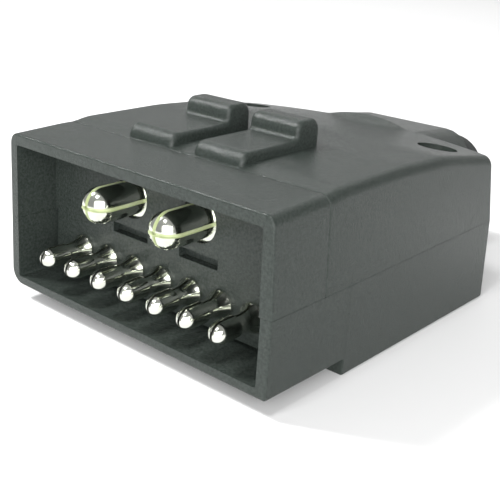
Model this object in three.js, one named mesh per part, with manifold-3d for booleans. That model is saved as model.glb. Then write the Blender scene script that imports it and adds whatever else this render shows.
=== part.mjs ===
/**
 * Flat multi-pole trailer wiring plug, the half with the pins, as separate pieces.
 *
 * Millimetres, +Z up. Every piece is drawn in the mouth frame: x runs across the plug, y from the
 * plane of the mouth towards the cable, z up from the surface that the plug rests on. The exported
 * group shifts that frame along y, so that the origin is the middle of the plug's underside.
 */
import * as THREE from 'three';
import { mergeVertices } from 'three/addons/utils/BufferGeometryUtils.js';
import Module from 'manifold-3d';

// ---------------------------------------------------------------- driving dimensions

const GAP = 0.3;
const OVERRUN = 1;

/** Outer form shared by the housing, the hood and the cover. */
const BODY = {
  halfWidthAtBase: 27.7,
  sideDraft: 0.036,
  partingZ: 14.1,
  topZ: 28.15,
  mouthBaseZ: 2.55,
  stepY: 17,
  seamY: 11.2,
  rearSideY: 59.4,
  rearBulge: 3.5,
  rearLean: 0.2,
  edgeRadius: 0.7,
  lowEdgeRadius: 0.4,
  topEdgeRadius: 1.6,
  mouthLeftEdgeRadius: 2.3,
  partingEdgeRadius: 0.2,
  roomEdgeRadius: 0.4,
  roomTopEdgeRadius: 0.6,
  stepEdge: 0.6,
  mouthWall: 1.75,
  mouthFloor: 1.45,
  wall: 2,
};

/** How the cover's top rises a little, falls away to the rear and arches over the cable entry. */
const TOP = {
  rise: 0.45,
  riseStartY: 11.2,
  riseEndY: 15,
  riseFallY: 29,
  riseOverY: 40,
  fallStartY: 38,
  easeLength: 6.5,
  easeRate: 0.0125,
  slope: 0.165,
  centreShare: 0.56,
  archZ: 27.6,
  archRadius: 28,
  archStartY: 57.2,
  archEndY: 59.6,
};

/** How much lower and narrower the mouth's front is than the body, and over what length. */
const MOUTH_TAPER = { drop: 0.35, dropLength: 9, narrowing: 0.2, narrowingLength: 17 };

/** How much further the right side leans in at the bottom of the mouth, and where that ends. */
const RIGHT_DRAFT = { reach: 0.75, overY: 62 };

const CABLE = { z: 14.1, radius: 5.2 };

/** The tapering spout behind the rear wall, half in the housing and half in the cover. */
const SPOUT = {
  baseY: 60,
  endY: 75,
  baseHalf: 15.9,
  endHalf: 14.3,
  baseHalfHeight: 12.3,
  endHalfHeight: 10.3,
  cornerRadius: 5.7,
  edge: 0.5,
};

/** The two stepped ribs on the cover that the socket's lid latches behind. */
const RIB = {
  width: 9.6,
  centres: { left: -7.95, right: 5.95 },
  startY: 11.9,
  stepY: 24.4,
  endY: 29.8,
  lowZ: 30.2,
  highZ: 32.95,
  lowRadius: 1.6,
  highRadius: 1.7,
  footRadius: 0.8,
  sideBevel: 0.5,
};

const CARRIER = { faceY: 7.5, backY: 15.2, inset: 2.3, baseZ: 4.75, topInset: 2.3 };
const POCKET = { x: 7.15, width: 7.65, z: 14.8, height: 1.6, depth: 1.4 };
const STOP = { innerX: 22, startY: 15.5, endY: 17 };

const SMALL_PIN = {
  count: 7,
  pitch: 6,
  z: 9.25,
  tipY: -1.22,
  radius: 1.6,
  stemRadius: 1.42,
  stemStepY: 3.4,
  flareStartY: 4.9,
  flareY: 7,
  flareRadius: 2.25,
  shankRadius: 1.8,
  holeRadius: 2.1,
  grooveRadius: 1.3,
  barrelRadius: 1.8,
  endY: 31,
  boreRadius: 1.05,
  boreDepth: 8,
  slotWidth: 0.45,
  slotEndY: 6.5,
  crossSlot: false,
  screwY: 27.5,
  padHeight: 1.4,
  segments: 12,
};

const LARGE_PIN = {
  x: 7,
  z: 20.5,
  tipY: -1.2,
  radius: 2.77,
  stemRadius: 2.7,
  stemStepY: 5.6,
  flareStartY: 6.6,
  flareY: 7,
  flareRadius: 3.6,
  shankRadius: 3.1,
  holeRadius: 3.4,
  grooveRadius: 2.2,
  barrelRadius: 3.1,
  endY: 26,
  boreRadius: 1.9,
  boreDepth: 7,
  slotWidth: 0.6,
  slotEndY: 6.2,
  crossSlot: true,
  screwY: 22,
  padHeight: 2.4,
  segments: 16,
};

const PIN_GROOVE = { startY: 15.4, endY: 17 };
const RETAINER = { startY: 15.6, endY: 16.8, smallHalfX: 20.6, largeHalfX: 11.6, smallTopZ: 12.1 };

const SMALL_TERMINAL_SCREW = { headRadius: 1.7, headHeight: 1.2, shankRadius: 0.75, reach: 1 };
const LARGE_TERMINAL_SCREW = { headRadius: 2.3, headHeight: 1.5, shankRadius: 1.05, reach: 1.2 };
const COVER_SCREW = {
  x: 20,
  y: 50.3,
  headRadius: 2.85,
  headHeight: 1.6,
  seatZ: 23.3,
  shankRadius: 1.5,
  tipZ: 6.3,
  recessRadius: 3.3,
  bossRadius: 4.2,
};

const CLAMP = {
  halfX: 14,
  startY: 44.5,
  endY: 49.5,
  cradleTopZ: 12.8,
  saddleBottomZ: 15.9,
  saddleTopZ: 20.9,
  screwX: 10.3,
  screwTipZ: 5.3,
};
const CLAMP_SCREW = { headRadius: 2.5, headHeight: 1.5, shankRadius: 1.4 };

const BOOT = {
  lipStartY: 75.4,
  lipEndY: 78,
  lipHalf: 15.8,
  lipHalfHeight: 8.95,
  lipCornerRadius: 6.5,
  coreHalf: 11.7,
  coreHalfHeight: 7.7,
  flangeHalf: 13.3,
  flangeHalfHeight: 9.2,
  flangeStartY: 53.4,
  flangeEndY: 55.4,
  cornerRadius: 5,
  tubeEndY: 83,
  tubeRadius: 7.8,
  tubeEndRadius: 7.1,
};

const SCREW_SLOT = { width: 0.6, depthShare: 0.55 };
const HOLE_SEGMENTS = 16;
const SCREW_SEGMENTS = 10;
const CORNER_STEPS = 3;
const TOP_STEPS = 8;

/** How far along a piece its cross-sections stand, from its front to its rear. */
const STATIONS = {
  outside: [0, 0.06, 0.3, 0.56, 0.64, 0.73, 0.84, 0.92, 0.955, 0.98, 1],
  room: [0, 0.55, 0.72, 0.86, 1],
  straight: [0, 1],
};

const MATERIALS = {
  shell: { color: 0x2c2f2d, roughness: 0.62, metalness: 0 },
  carrier: { color: 0x252826, roughness: 0.6, metalness: 0 },
  retainer: { color: 0x4a4d4a, roughness: 0.6, metalness: 0 },
  rubber: { color: 0x1d1f1e, roughness: 0.85, metalness: 0 },
  pin: { color: 0xd9d7c8, roughness: 0.18, metalness: 1 },
  screw: { color: 0xb9babb, roughness: 0.3, metalness: 1 },
};

// ---------------------------------------------------------------- solids

const wasm = await Module();
wasm.setup();

/** A closed three.js geometry as a solid: shared corners merged, collapsed triangles dropped. */
function solid(geometry) {
  const bare = geometry.clone();
  bare.deleteAttribute('normal');
  bare.deleteAttribute('uv');
  const merged = mergeVertices(bare, 1e-4);
  const corners = merged.index.array;
  const triangles = [];
  for (let i = 0; i < corners.length; i += 3) {
    const [a, b, c] = [corners[i], corners[i + 1], corners[i + 2]];
    if (a !== b && b !== c && c !== a) triangles.push(a, b, c);
  }
  return new wasm.Manifold(new wasm.Mesh({
    numProp: 3,
    vertProperties: new Float32Array(merged.attributes.position.array),
    triVerts: new Uint32Array(triangles),
  }));
}

function join(first, ...others) {
  return others.reduce((whole, piece) => whole.add(piece), first);
}

function cut(first, ...others) {
  return others.reduce((whole, piece) => whole.subtract(piece), first);
}

function block(x, y, z) {
  const box = new THREE.BoxGeometry(x[1] - x[0], y[1] - y[0], z[1] - z[0]);
  box.translate((x[0] + x[1]) / 2, (y[0] + y[1]) / 2, (z[0] + z[1]) / 2);
  return solid(box);
}

/** A rod along z, standing on the point (x, y). */
function rodZ(radius, x, y, z, segments = HOLE_SEGMENTS) {
  const rod = new THREE.CylinderGeometry(radius, radius, z[1] - z[0], segments);
  rod.rotateX(Math.PI / 2);
  rod.translate(x, y, (z[0] + z[1]) / 2);
  return solid(rod);
}

/** A rod along y through the point (x, z), with its own radius at each end. */
function rodY(startRadius, endRadius, x, y, z, segments = HOLE_SEGMENTS) {
  const rod = new THREE.CylinderGeometry(endRadius, startRadius, y[1] - y[0], segments);
  rod.translate(x, (y[0] + y[1]) / 2, z);
  return solid(rod);
}

/** Skins closed rings with equal numbers of points and closes the first and last with fans. */
function loft(rings) {
  const count = rings[0].length;
  const points = rings.flat();
  const index = [];
  for (let ring = 0; ring + 1 < rings.length; ring++) {
    for (let i = 0; i < count; i++) {
      const near = ring * count + i;
      const nearNext = ring * count + ((i + 1) % count);
      index.push(near, nearNext + count, nearNext, near, near + count, nearNext + count);
    }
  }
  const lastRing = (rings.length - 1) * count;
  for (const [start, reversed] of [[0, false], [lastRing, true]]) {
    const centre = new THREE.Vector3();
    for (let i = 0; i < count; i++) centre.addScaledVector(points[start + i], 1 / count);
    const hub = points.push(centre) - 1;
    for (let i = 0; i < count; i++) {
      const next = start + ((i + 1) % count);
      if (reversed) index.push(hub, next, start + i);
      else index.push(hub, start + i, next);
    }
  }
  const geometry = new THREE.BufferGeometry().setFromPoints(points);
  geometry.setIndex(index);
  return solid(geometry);
}

// ---------------------------------------------------------------- outer form

const halfWidthAt = (z) => BODY.halfWidthAtBase - BODY.sideDraft * z;

/** How much narrower each side is at y than behind the mouth. */
function narrowingAt(y) {
  return MOUTH_TAPER.narrowing * Math.max(0, 1 - Math.max(0, y) / MOUTH_TAPER.narrowingLength);
}

/** How much further the right side leans in below the parting line, mostly near the mouth. */
function rightDraftAt(y, z) {
  const { reach, overY } = RIGHT_DRAFT;
  return reach * Math.max(0, 1 - z / BODY.partingZ) * Math.max(0, 1 - y / overY);
}

/** The rear wall bulges out in the middle and leans forward above the parting line. */
function rearY(x, z) {
  const bulge = BODY.rearBulge * (1 - (x / BODY.halfWidthAtBase) ** 2);
  return BODY.rearSideY + bulge - BODY.rearLean * Math.max(0, z - BODY.partingZ);
}

/** Height of the cover's top: level, then falling to the rear, with an arch over the cable. */
function topZ(x, y) {
  const { smoothstep } = THREE.MathUtils;
  const lift = TOP.rise
    * smoothstep(y, TOP.riseStartY, TOP.riseEndY)
    * (1 - smoothstep(y, TOP.riseFallY, TOP.riseOverY));
  const past = Math.max(0, y - TOP.fallStartY);
  const eased = Math.min(past, TOP.easeLength);
  const fall = TOP.easeRate * eased ** 2 + TOP.slope * (past - eased);
  const share = TOP.centreShare + (1 - TOP.centreShare) * (x / halfWidthAt(BODY.topZ)) ** 2;
  const drop = MOUTH_TAPER.drop * Math.max(0, 1 - y / MOUTH_TAPER.dropLength);
  const plain = BODY.topZ + lift - drop - fall * share;
  const arch = TOP.archZ - x ** 2 / (2 * TOP.archRadius);
  return plain + Math.max(0, arch - plain) * smoothstep(y, TOP.archStartY, TOP.archEndY);
}

/** The right half of a cross-section, from the outer end of its bottom edge to its middle. */
function halfRing({ halfAt, bottom, topAt, yAt, topRadius }, bottomRadius) {
  const points = [];
  const addPoint = (x, z) => points.push(new THREE.Vector3(x, yAt(x, z), z));
  for (let i = 0; i <= CORNER_STEPS; i++) {
    const angle = (Math.PI / 2) * (i / CORNER_STEPS);
    const centreX = halfAt(bottom) - bottomRadius;
    addPoint(centreX + bottomRadius * Math.sin(angle), bottom + bottomRadius * (1 - Math.cos(angle)));
  }
  const roughTop = topAt(halfAt(bottom), yAt(halfAt(bottom), bottom));
  const cornerX = halfAt(roughTop) - topRadius;
  const cornerTop = topAt(cornerX, yAt(cornerX, roughTop));
  for (let i = 0; i <= CORNER_STEPS; i++) {
    const angle = (Math.PI / 2) * (i / CORNER_STEPS);
    addPoint(cornerX + topRadius * Math.cos(angle), cornerTop - topRadius * (1 - Math.sin(angle)));
  }
  for (let i = 1; i <= TOP_STEPS; i++) {
    const x = cornerX * (1 - i / TOP_STEPS);
    addPoint(x, topAt(x, yAt(x, cornerTop)));
  }
  return points;
}

/**
 * One closed ring of points, anticlockwise seen from the mouth. Its place along the plug is
 * yAt(x, z), so a ring may follow the bulging rear wall.
 */
function sectionRing(section) {
  const { halfAt, yAt, bottomRadius, leftBottomRadius = bottomRadius } = section;
  const rightHalfAt = (z) => halfAt(z) - rightDraftAt(yAt(0, z), z);
  const right = halfRing({ ...section, halfAt: rightHalfAt }, bottomRadius);
  const left = halfRing(section, leftBottomRadius).slice(0, -1).reverse();
  return [...right, ...left.map((point) => new THREE.Vector3(-point.x, point.y, point.z))];
}

/**
 * A stretch of the outer form between two heights. Its front is flat at frontY, and its rear is
 * flat at endY or, without endY, follows the rear wall with a rounded edge.
 */
function bodyStretch({
  frontY, endY, bottom, top, bottomRadius, leftBottomRadius, topRadius, inset = 0, frontEdge = 0,
}) {
  const endAt = endY === undefined ? (x, z) => rearY(x, z) - inset : () => endY;
  const rearEdge = inset > 0 ? BODY.roomEdgeRadius : BODY.edgeRadius;
  const edge = endY === undefined ? rearEdge : 0;
  const topAt = top === undefined ? topZ : () => top;
  const stations = [{ yAt: () => frontY, shrink: frontEdge }];
  const shares = inset > 0 ? STATIONS.room : STATIONS.outside;
  for (const share of endY === undefined ? shares : STATIONS.straight) {
    const yAt = (x, z) => THREE.MathUtils.lerp(frontY + frontEdge, endAt(x, z) - edge, share);
    if (share > 0 || frontEdge > 0) stations.push({ yAt, shrink: 0 });
  }
  for (let i = 1; i <= CORNER_STEPS && edge > 0; i++) {
    const angle = (Math.PI / 2) * (i / CORNER_STEPS);
    const yAt = (x, z) => endAt(x, z) - edge * (1 - Math.sin(angle));
    stations.push({ yAt, shrink: edge * (1 - Math.cos(angle)) });
  }
  return loft(stations.map(({ yAt, shrink }) => sectionRing({
    halfAt: (z) => halfWidthAt(z) - narrowingAt(yAt(0, z)) - inset - shrink,
    bottom: bottomRadius > BODY.partingEdgeRadius ? bottom + shrink : bottom,
    topAt: (x, y) => topAt(x, y) - (topRadius > BODY.partingEdgeRadius ? inset + shrink : 0),
    yAt,
    bottomRadius,
    leftBottomRadius,
    topRadius,
  })));
}

/** One half of the spout: above the parting line when up is 1, below it when up is -1. */
function spoutHalf(up) {
  const partingZ = BODY.partingZ + up * (GAP / 2);
  const stations = [
    { yAt: (x, z) => rearY(x, z) - BODY.wall - OVERRUN, shrink: 3 },
    { yAt: (x, z) => rearY(x, z) + GAP, shrink: SPOUT.edge },
    { yAt: (x, z) => rearY(x, z) + GAP + SPOUT.edge, shrink: 0 },
    { yAt: () => SPOUT.endY - SPOUT.edge, shrink: 0 },
    { yAt: () => SPOUT.endY, shrink: SPOUT.edge },
  ];
  return loft(stations.map(({ yAt, shrink }) => {
    const taper = (yAt(0, CABLE.z) - SPOUT.baseY) / (SPOUT.endY - SPOUT.baseY);
    const half = THREE.MathUtils.lerp(SPOUT.baseHalf, SPOUT.endHalf, taper) - shrink;
    const reach = THREE.MathUtils.lerp(SPOUT.baseHalfHeight, SPOUT.endHalfHeight, taper) - shrink;
    return sectionRing({
      halfAt: () => half,
      bottom: up > 0 ? partingZ : CABLE.z - reach,
      topAt: () => (up > 0 ? CABLE.z + reach : partingZ),
      yAt,
      bottomRadius: up > 0 ? BODY.partingEdgeRadius : SPOUT.cornerRadius,
      topRadius: up > 0 ? SPOUT.cornerRadius : BODY.partingEdgeRadius,
    });
  }));
}

/** A rounded rectangular bar along y, centred on the cable's axis. */
function roundedBar(half, halfHeight, radius, startY, endY) {
  const shape = new THREE.Shape();
  const [x, z] = [half - radius, halfHeight - radius];
  shape.absarc(x, z, radius, 0, Math.PI / 2);
  shape.absarc(-x, z, radius, Math.PI / 2, Math.PI);
  shape.absarc(-x, -z, radius, Math.PI, 1.5 * Math.PI);
  shape.absarc(x, -z, radius, 1.5 * Math.PI, 2 * Math.PI);
  const bar = new THREE.ExtrudeGeometry(shape, {
    depth: endY - startY, bevelEnabled: false, curveSegments: CORNER_STEPS,
  });
  bar.rotateX(Math.PI / 2);
  bar.translate(0, endY, CABLE.z);
  return solid(bar);
}

const mouthCavity = () => bodyStretch({
  frontY: -OVERRUN,
  endY: CARRIER.faceY,
  bottom: BODY.mouthBaseZ + BODY.mouthFloor,
  top: BODY.topZ - MOUTH_TAPER.drop,
  bottomRadius: BODY.roomEdgeRadius,
  topRadius: BODY.roomEdgeRadius,
  inset: BODY.mouthWall,
});

// ---------------------------------------------------------------- shells

const boreAlongCable = () => roundedBar(
  BOOT.coreHalf + GAP,
  BOOT.coreHalfHeight + GAP,
  BOOT.cornerRadius,
  BODY.rearSideY - 3 * BODY.wall,
  SPOUT.endY + OVERRUN,
);

const bothSides = (make) => [make(-1), make(1)];

function sideBlock(side, innerX, outerX, y, z) {
  const x = side > 0 ? [innerX, outerX] : [-outerX, -innerX];
  return block(x, y, z);
}

function lowerHousing() {
  const top = BODY.partingZ - GAP / 2;
  const mouth = bodyStretch({
    frontY: 0,
    endY: BODY.stepY + OVERRUN,
    bottom: BODY.mouthBaseZ,
    top,
    bottomRadius: BODY.lowEdgeRadius,
    leftBottomRadius: BODY.mouthLeftEdgeRadius,
    topRadius: BODY.partingEdgeRadius,
    frontEdge: BODY.partingEdgeRadius,
  });
  const rear = bodyStretch({
    frontY: BODY.stepY,
    bottom: 0,
    top,
    bottomRadius: BODY.lowEdgeRadius,
    topRadius: BODY.partingEdgeRadius,
    frontEdge: BODY.stepEdge,
  });
  const mouthRoom = bodyStretch({
    frontY: -OVERRUN,
    endY: BODY.stepY + 2 * BODY.wall,
    bottom: BODY.mouthBaseZ + BODY.mouthFloor,
    top: BODY.partingZ + OVERRUN,
    bottomRadius: BODY.roomEdgeRadius,
    topRadius: BODY.partingEdgeRadius,
    inset: BODY.mouthWall,
  });
  const wiringRoom = bodyStretch({
    frontY: BODY.stepY + BODY.wall,
    bottom: BODY.wall,
    top: BODY.partingZ + OVERRUN,
    bottomRadius: BODY.roomEdgeRadius,
    topRadius: BODY.partingEdgeRadius,
    inset: BODY.wall,
  });
  const shell = cut(join(mouth, rear, spoutHalf(-1)), mouthRoom, wiringRoom, boreAlongCable());
  const stops = bothSides((side) => sideBlock(
    side,
    STOP.innerX,
    halfWidthAt(0) - BODY.mouthWall / 2,
    [STOP.startY, STOP.endY],
    [BODY.mouthBaseZ + OVERRUN, top],
  ));
  const bosses = bothSides((side) => rodZ(
    COVER_SCREW.bossRadius, side * COVER_SCREW.x, COVER_SCREW.y, [OVERRUN, top],
  ));
  const cradle = block(
    [-CLAMP.halfX, CLAMP.halfX], [CLAMP.startY, CLAMP.endY], [OVERRUN, CLAMP.cradleTopZ],
  );
  const cablePath = rodY(
    CABLE.radius, CABLE.radius, 0, [CLAMP.startY - OVERRUN, CLAMP.endY + OVERRUN], CABLE.z,
  );
  const coverScrewHoles = bothSides((side) => rodZ(
    COVER_SCREW.shankRadius + GAP,
    side * COVER_SCREW.x,
    COVER_SCREW.y,
    [COVER_SCREW.tipZ - GAP, BODY.partingZ],
  ));
  const clampScrewHoles = bothSides((side) => rodZ(
    CLAMP_SCREW.shankRadius + GAP,
    side * CLAMP.screwX,
    (CLAMP.startY + CLAMP.endY) / 2,
    [CLAMP.screwTipZ - GAP, BODY.partingZ],
  ));
  return cut(
    join(shell, ...stops, ...bosses, cradle), cablePath, ...coverScrewHoles, ...clampScrewHoles,
  );
}

/** One stepped rib: a low rounded ramp in front of a taller block, drawn from the side. */
function latchRib(centreX) {
  const sunkZ = BODY.topZ - OVERRUN;
  const side = new THREE.Shape();
  side.moveTo(RIB.startY, sunkZ);
  side.lineTo(RIB.endY, sunkZ);
  side.lineTo(RIB.endY, RIB.highZ - RIB.highRadius);
  side.absarc(RIB.endY - RIB.highRadius, RIB.highZ - RIB.highRadius, RIB.highRadius, 0, Math.PI / 2);
  side.absarc(
    RIB.stepY + RIB.highRadius, RIB.highZ - RIB.highRadius, RIB.highRadius, Math.PI / 2, Math.PI,
  );
  side.absarc(
    RIB.stepY - RIB.footRadius, RIB.lowZ + RIB.footRadius, RIB.footRadius, 0, -Math.PI / 2, true,
  );
  side.absarc(RIB.startY + RIB.lowRadius, RIB.lowZ - RIB.lowRadius, RIB.lowRadius, Math.PI / 2, Math.PI);
  const depth = RIB.width - 2 * RIB.sideBevel;
  const rib = new THREE.ExtrudeGeometry(side, {
    depth,
    curveSegments: CORNER_STEPS,
    bevelSize: RIB.sideBevel,
    bevelOffset: -RIB.sideBevel,
    bevelThickness: RIB.sideBevel,
    bevelSegments: 2,
  });
  const [alongY, alongZ, alongX] = [
    new THREE.Vector3(0, 1, 0), new THREE.Vector3(0, 0, 1), new THREE.Vector3(1, 0, 0),
  ];
  rib.applyMatrix4(new THREE.Matrix4().makeBasis(alongY, alongZ, alongX));
  rib.translate(centreX - depth / 2, 0, 0);
  return solid(rib);
}

function topCover() {
  const bottom = BODY.partingZ + GAP / 2;
  const outer = bodyStretch({
    frontY: BODY.seamY,
    bottom,
    bottomRadius: BODY.partingEdgeRadius,
    topRadius: BODY.topEdgeRadius,
    frontEdge: BODY.partingEdgeRadius,
  });
  const room = bodyStretch({
    frontY: BODY.seamY - OVERRUN,
    bottom: BODY.partingZ - OVERRUN,
    bottomRadius: BODY.partingEdgeRadius,
    topRadius: BODY.roomTopEdgeRadius,
    inset: BODY.wall,
  });
  const shell = cut(join(outer, spoutHalf(1)), room, boreAlongCable());
  const ribs = Object.values(RIB.centres).map(latchRib);
  const stops = bothSides((side) => sideBlock(
    side,
    STOP.innerX,
    halfWidthAt(BODY.topZ) - BODY.wall / 2,
    [STOP.startY, STOP.endY],
    [bottom, BODY.topZ - BODY.wall / 2],
  ));
  const bosses = bothSides((side) => rodZ(
    COVER_SCREW.bossRadius, side * COVER_SCREW.x, COVER_SCREW.y, [bottom, COVER_SCREW.seatZ + BODY.wall],
  ));
  const recesses = bothSides((side) => rodZ(
    COVER_SCREW.recessRadius, side * COVER_SCREW.x, COVER_SCREW.y, [COVER_SCREW.seatZ, BODY.topZ],
  ));
  const screwHoles = bothSides((side) => rodZ(
    COVER_SCREW.shankRadius + GAP,
    side * COVER_SCREW.x,
    COVER_SCREW.y,
    [BODY.partingZ - OVERRUN, BODY.topZ],
  ));
  return cut(join(shell, ...ribs, ...stops, ...bosses), ...recesses, ...screwHoles);
}

// ---------------------------------------------------------------- pins and their carrier

const smallPinX = (number) => (number - (SMALL_PIN.count + 1) / 2) * SMALL_PIN.pitch;

const PIN_PLACES = [
  ...Array.from({ length: SMALL_PIN.count }, (_, i) => ({ pin: SMALL_PIN, x: smallPinX(i + 1) })),
  { pin: LARGE_PIN, x: -LARGE_PIN.x },
  { pin: LARGE_PIN, x: LARGE_PIN.x },
];

/** The block that holds the pins, in one piece with the hood that roofs the mouth. */
function pinCarrier() {
  const hood = bodyStretch({
    frontY: 0,
    endY: BODY.seamY - GAP,
    bottom: BODY.partingZ + GAP / 2,
    bottomRadius: BODY.partingEdgeRadius,
    topRadius: BODY.topEdgeRadius,
    frontEdge: BODY.partingEdgeRadius,
  });
  const core = bodyStretch({
    frontY: CARRIER.faceY,
    endY: CARRIER.backY,
    bottom: CARRIER.baseZ,
    top: BODY.topZ,
    bottomRadius: BODY.roomEdgeRadius,
    topRadius: BODY.roomTopEdgeRadius,
    inset: CARRIER.inset,
  });
  const holes = PIN_PLACES.map(({ pin, x }) => rodY(
    pin.holeRadius, pin.holeRadius, x, [0, CARRIER.backY + OVERRUN], pin.z,
  ));
  const pockets = bothSides((side) => sideBlock(
    side,
    POCKET.x - POCKET.width / 2,
    POCKET.x + POCKET.width / 2,
    [0, CARRIER.faceY + POCKET.depth],
    [POCKET.z - POCKET.height / 2, POCKET.z + POCKET.height / 2],
  ));
  return cut(join(cut(hood, mouthCavity()), core), ...holes, ...pockets);
}

/**
 * A pin turned about its own axis, which runs along y: domed tip, stem, flare, shank, retaining
 * groove and wire barrel. It is split from the tip, bored for the wire and flattened for a screw.
 */
function contactPin(pin) {
  const profile = [new THREE.Vector2(0, pin.tipY)];
  for (let i = 1; i <= CORNER_STEPS; i++) {
    const angle = (Math.PI / 2) * (i / CORNER_STEPS);
    const along = pin.tipY + pin.radius * (1 - Math.cos(angle));
    profile.push(new THREE.Vector2(pin.radius * Math.sin(angle), along));
  }
  profile.push(new THREE.Vector2(pin.radius, pin.stemStepY));
  profile.push(new THREE.Vector2(pin.stemRadius, pin.stemStepY + GAP));
  profile.push(new THREE.Vector2(pin.stemRadius, pin.flareStartY));
  const flareMiddle = (pin.flareStartY + pin.flareY) / 2;
  const flareWaist = THREE.MathUtils.lerp(pin.stemRadius, pin.flareRadius, 0.3);
  profile.push(new THREE.Vector2(flareWaist, flareMiddle));
  profile.push(new THREE.Vector2(pin.flareRadius, pin.flareY));
  profile.push(new THREE.Vector2(pin.flareRadius, CARRIER.faceY - GAP));
  profile.push(new THREE.Vector2(pin.shankRadius, CARRIER.faceY - GAP));
  profile.push(new THREE.Vector2(pin.shankRadius, PIN_GROOVE.startY));
  profile.push(new THREE.Vector2(pin.grooveRadius, PIN_GROOVE.startY));
  profile.push(new THREE.Vector2(pin.grooveRadius, PIN_GROOVE.endY));
  profile.push(new THREE.Vector2(pin.barrelRadius, PIN_GROOVE.endY));
  profile.push(new THREE.Vector2(pin.barrelRadius, pin.endY));
  profile.push(new THREE.Vector2(pin.boreRadius, pin.endY));
  profile.push(new THREE.Vector2(pin.boreRadius, pin.endY - pin.boreDepth));
  profile.push(new THREE.Vector2(0, pin.endY - pin.boreDepth));
  const turned = solid(new THREE.LatheGeometry(profile, pin.segments));

  const slot = [-pin.slotWidth / 2, pin.slotWidth / 2];
  const slotLength = [pin.tipY - OVERRUN, pin.slotEndY];
  const across = [-pin.flareRadius - OVERRUN, pin.flareRadius + OVERRUN];
  const slots = [block(slot, slotLength, across)];
  if (pin.crossSlot) slots.push(block(across, slotLength, slot));
  const pad = block(
    across,
    [pin.screwY - pin.barrelRadius, pin.endY + OVERRUN],
    [pin.padHeight, pin.barrelRadius + OVERRUN],
  );
  const screwHole = rodZ(
    screwOf(pin).shankRadius + GAP, 0, pin.screwY, [0, pin.barrelRadius + OVERRUN], SCREW_SEGMENTS,
  );
  return cut(turned, ...slots, pad, screwHole);
}

/** A comb plate that drops into the pins' grooves; its slots open towards openZ. */
function retainer(places, halfX, z, openZ) {
  const plate = block([-halfX, halfX], [RETAINER.startY, RETAINER.endY], z);
  const slots = places.flatMap(({ pin, x }) => {
    const radius = pin.grooveRadius + GAP;
    const way = block(
      [x - radius, x + radius],
      [RETAINER.startY - OVERRUN, RETAINER.endY + OVERRUN],
      [Math.min(pin.z, openZ), Math.max(pin.z, openZ)],
    );
    const seat = rodY(
      radius, radius, x, [RETAINER.startY - OVERRUN, RETAINER.endY + OVERRUN], pin.z, SCREW_SEGMENTS,
    );
    return [way, seat];
  });
  return cut(plate, ...slots);
}

function smallPinRetainer() {
  const bottomZ = BODY.mouthBaseZ + BODY.mouthFloor + GAP;
  const places = PIN_PLACES.filter(({ pin }) => pin === SMALL_PIN);
  return retainer(places, RETAINER.smallHalfX, [bottomZ, RETAINER.smallTopZ], bottomZ - OVERRUN);
}

function largePinRetainer() {
  const topZLimit = BODY.topZ - CARRIER.topInset;
  const places = PIN_PLACES.filter(({ pin }) => pin === LARGE_PIN);
  const bottomZ = LARGE_PIN.z - LARGE_PIN.barrelRadius - 2 * GAP;
  return retainer(places, RETAINER.largeHalfX, [bottomZ, topZLimit], topZLimit + OVERRUN);
}

// ---------------------------------------------------------------- screws, clamp and boot

function screwOf(pin) {
  return pin === SMALL_PIN ? SMALL_TERMINAL_SCREW : LARGE_TERMINAL_SCREW;
}

/** A slotted cheese-head screw along z, with z = 0 under its head and its shank below. */
function screw({ headRadius, headHeight, shankRadius }, shankLength) {
  const chamfer = shankRadius / 3;
  const profile = [
    [0, -shankLength],
    [shankRadius - chamfer, -shankLength],
    [shankRadius, chamfer - shankLength],
    [shankRadius, 0],
    [headRadius, 0],
    [headRadius, headHeight - chamfer],
    [headRadius - chamfer, headHeight],
    [0, headHeight],
  ].map(([radius, height]) => new THREE.Vector2(radius, height));
  const turned = new THREE.LatheGeometry(profile, SCREW_SEGMENTS);
  turned.rotateX(Math.PI / 2);
  const slotWidth = SCREW_SLOT.width * shankRadius;
  const slotDepth = SCREW_SLOT.depthShare * headHeight;
  const slot = block(
    [-headRadius - OVERRUN, headRadius + OVERRUN],
    [-slotWidth / 2, slotWidth / 2],
    [headHeight - slotDepth, headHeight + OVERRUN],
  );
  return cut(solid(turned), slot);
}

function cableClamp() {
  const middleY = (CLAMP.startY + CLAMP.endY) / 2;
  const saddle = block(
    [-CLAMP.halfX, CLAMP.halfX], [CLAMP.startY, CLAMP.endY], [CLAMP.saddleBottomZ, CLAMP.saddleTopZ],
  );
  const cablePath = rodY(
    CABLE.radius, CABLE.radius, 0, [CLAMP.startY - OVERRUN, CLAMP.endY + OVERRUN], CABLE.z,
  );
  const holes = bothSides((side) => rodZ(
    CLAMP_SCREW.shankRadius + GAP,
    side * CLAMP.screwX,
    middleY,
    [CLAMP.saddleBottomZ - OVERRUN, CLAMP.saddleTopZ + OVERRUN],
  ));
  return cut(saddle, cablePath, ...holes);
}

function cableBoot() {
  const core = roundedBar(
    BOOT.coreHalf, BOOT.coreHalfHeight, BOOT.cornerRadius, BOOT.flangeStartY, BOOT.lipEndY,
  );
  const flange = roundedBar(
    BOOT.flangeHalf, BOOT.flangeHalfHeight, BOOT.cornerRadius, BOOT.flangeStartY, BOOT.flangeEndY,
  );
  const lip = roundedBar(
    BOOT.lipHalf, BOOT.lipHalfHeight, BOOT.lipCornerRadius, BOOT.lipStartY, BOOT.lipEndY,
  );
  const tube = rodY(
    BOOT.tubeRadius, BOOT.tubeEndRadius, 0, [BOOT.lipEndY - OVERRUN, BOOT.tubeEndY], CABLE.z,
  );
  const bore = rodY(
    CABLE.radius + GAP, CABLE.radius + GAP, 0,
    [BOOT.flangeStartY - OVERRUN, BOOT.tubeEndY + OVERRUN], CABLE.z,
  );
  return cut(join(core, flange, lip, tube), bore);
}

// ---------------------------------------------------------------- assembly

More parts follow.
